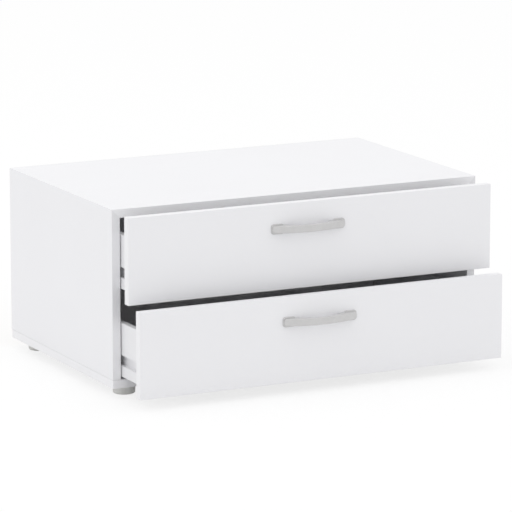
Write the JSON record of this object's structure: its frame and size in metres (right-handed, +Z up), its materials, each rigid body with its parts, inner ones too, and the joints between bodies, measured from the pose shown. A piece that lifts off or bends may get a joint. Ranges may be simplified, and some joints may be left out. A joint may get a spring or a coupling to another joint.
{
  "type": "chest of drawers",
  "caption": "Low, wide chest in white board with overlay fronts on drawers that slide on strips, bow handles and round feet.",
  "frame": {"origin": "on the floor, under the middle of the whole object's box, with the drawers open as stored", "axes": "+X to the right along the width, +Y to the back, +Z up; the drawers open towards -Y"},
  "size_m": [0.753, 0.6044, 0.3505],
  "materials": {
    "white_board": "white melamine-faced chipboard with banded edges, fine satin grain",
    "drawer_board": "white foil-wrapped board, satin",
    "hardboard": "hardboard with a white lacquered face and a plain brown rear",
    "runner_plastic": "moulded, matt",
    "foot_plastic": "moulded, matt light grey",
    "satin_metal": "cast metal, satin nickel",
    "zinc_steel": "zinc-plated",
    "beech": "plain beech"
  },
  "bodies": {
    "carcass": {"back_nails": "zinc_steel", "back_panel": "hardboard", "bottom_panel": "white_board", "foot_screws": "zinc_steel", "front_foot_left": "foot_plastic", "front_foot_right": "foot_plastic", "joint_dowels": "beech", "joint_screws": "zinc_steel", "lower_runner_left": "runner_plastic", "lower_runner_right": "runner_plastic", "rear_foot_left": "foot_plastic", "rear_foot_right": "foot_plastic", "runner_screws": "zinc_steel", "side_panel_left": "white_board", "side_panel_right": "white_board", "top_panel": "white_board", "upper_runner_left": "runner_plastic", "upper_runner_right": "runner_plastic"},
    "upper_drawer": {"upper_back": "drawer_board", "upper_base": "hardboard", "upper_base_nails": "zinc_steel", "upper_box_screws": "zinc_steel", "upper_cam_bolts": "zinc_steel", "upper_cam_locks": "zinc_steel", "upper_front": "white_board", "upper_handle": "satin_metal", "upper_handle_screws": "zinc_steel", "upper_side_left": "drawer_board", "upper_side_right": "drawer_board"},
    "lower_drawer": {"lower_back": "drawer_board", "lower_base": "hardboard", "lower_base_nails": "zinc_steel", "lower_box_screws": "zinc_steel", "lower_cam_bolts": "zinc_steel", "lower_cam_locks": "zinc_steel", "lower_front": "white_board", "lower_handle": "satin_metal", "lower_handle_screws": "zinc_steel", "lower_side_left": "drawer_board", "lower_side_right": "drawer_board"}
  },
  "joints": [
    {"name": "upper_drawer_slide", "type": "slide", "parent": "carcass", "child": "upper_drawer", "axis": [0, -1, 0], "range_m": [-0.046, 0.253]},
    {"name": "lower_drawer_slide", "type": "slide", "parent": "carcass", "child": "lower_drawer", "axis": [0, -1, 0], "range_m": [-0.0935, 0.2055]}
  ]
}
